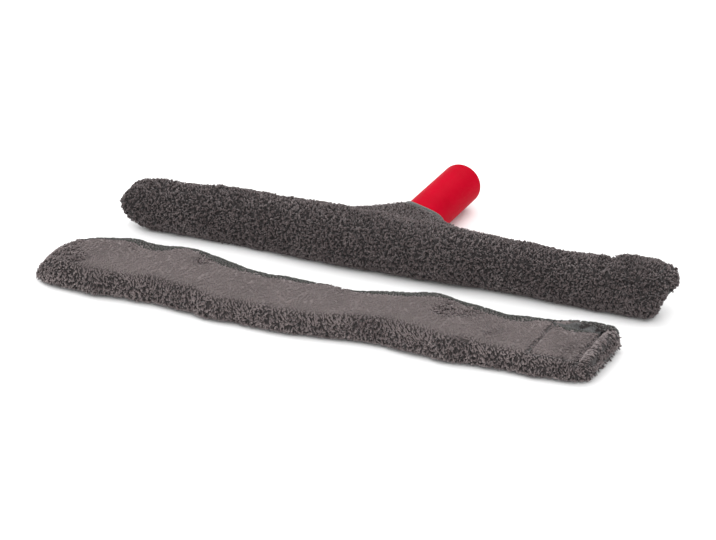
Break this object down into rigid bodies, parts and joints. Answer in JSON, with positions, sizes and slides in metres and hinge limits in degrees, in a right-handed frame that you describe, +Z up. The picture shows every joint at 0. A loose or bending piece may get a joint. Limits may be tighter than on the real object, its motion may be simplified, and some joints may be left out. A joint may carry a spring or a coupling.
{
  "type": "window scrubber",
  "caption": "T-bar window washer with a round pole handle in a dark plush sleeve, with a spare plush sleeve lying flat in front of it.",
  "frame": {"origin": "on the floor, under the middle of the whole set", "axes": "+X along the bar towards the ends with the closing flaps, +Y out of the handle's pole socket, +Z up"},
  "size_m": [0.472, 0.2819, 0.0458],
  "materials": {
    "red_plastic": "fine moulded gloss",
    "screw_steel": "plated",
    "bar_metal": "drawn",
    "cap_plastic": "moulded",
    "backing_cloth": "woven",
    "plush": "tufted plush",
    "edge_binding": "woven tape",
    "tape": "hook and loop",
    "thread": "stitched"
  },
  "bodies": {
    "washer": {"handle_yoke": "red_plastic", "hub_clamp": "red_plastic", "clamp_screws": "screw_steel", "cross_bar": "bar_metal", "left_end_cap": "cap_plastic", "right_end_cap": "cap_plastic", "worn_backing": "backing_cloth", "worn_pile": "plush", "collar_binding": "edge_binding", "worn_left_seam": "edge_binding", "worn_right_seam": "edge_binding", "worn_loop_tape": "tape", "worn_flap_stitch": "thread"},
    "worn_closing_flap": {"worn_flap": "plush", "worn_hook_tape": "tape"},
    "spare_sleeve": {"spare_pile": "plush", "spare_backing": "backing_cloth", "mouth_binding": "edge_binding", "spare_left_seam": "edge_binding", "spare_right_seam": "edge_binding", "spare_loop_tape": "tape", "spare_flap_stitch": "thread"},
    "spare_closing_flap": {"spare_flap": "plush", "spare_hook_tape": "tape"}
  },
  "joints": [
    {"name": "worn_flap_hinge", "type": "hinge", "parent": "washer", "child": "worn_closing_flap", "pos_m": [0.222, 0.00266, 0.0406], "axis": [0, 1, 0], "range_deg": [0, 150]},
    {"name": "spare_lift", "type": "slide", "parent": "washer", "child": "spare_sleeve", "axis": [0, 0, 1], "range_m": [0, 0.12]},
    {"name": "spare_flap_hinge", "type": "hinge", "parent": "spare_sleeve", "child": "spare_closing_flap", "pos_m": [0.205, -0.09746, 0.01448], "axis": [0, 1, 0], "range_deg": [0, 150]}
  ]
}
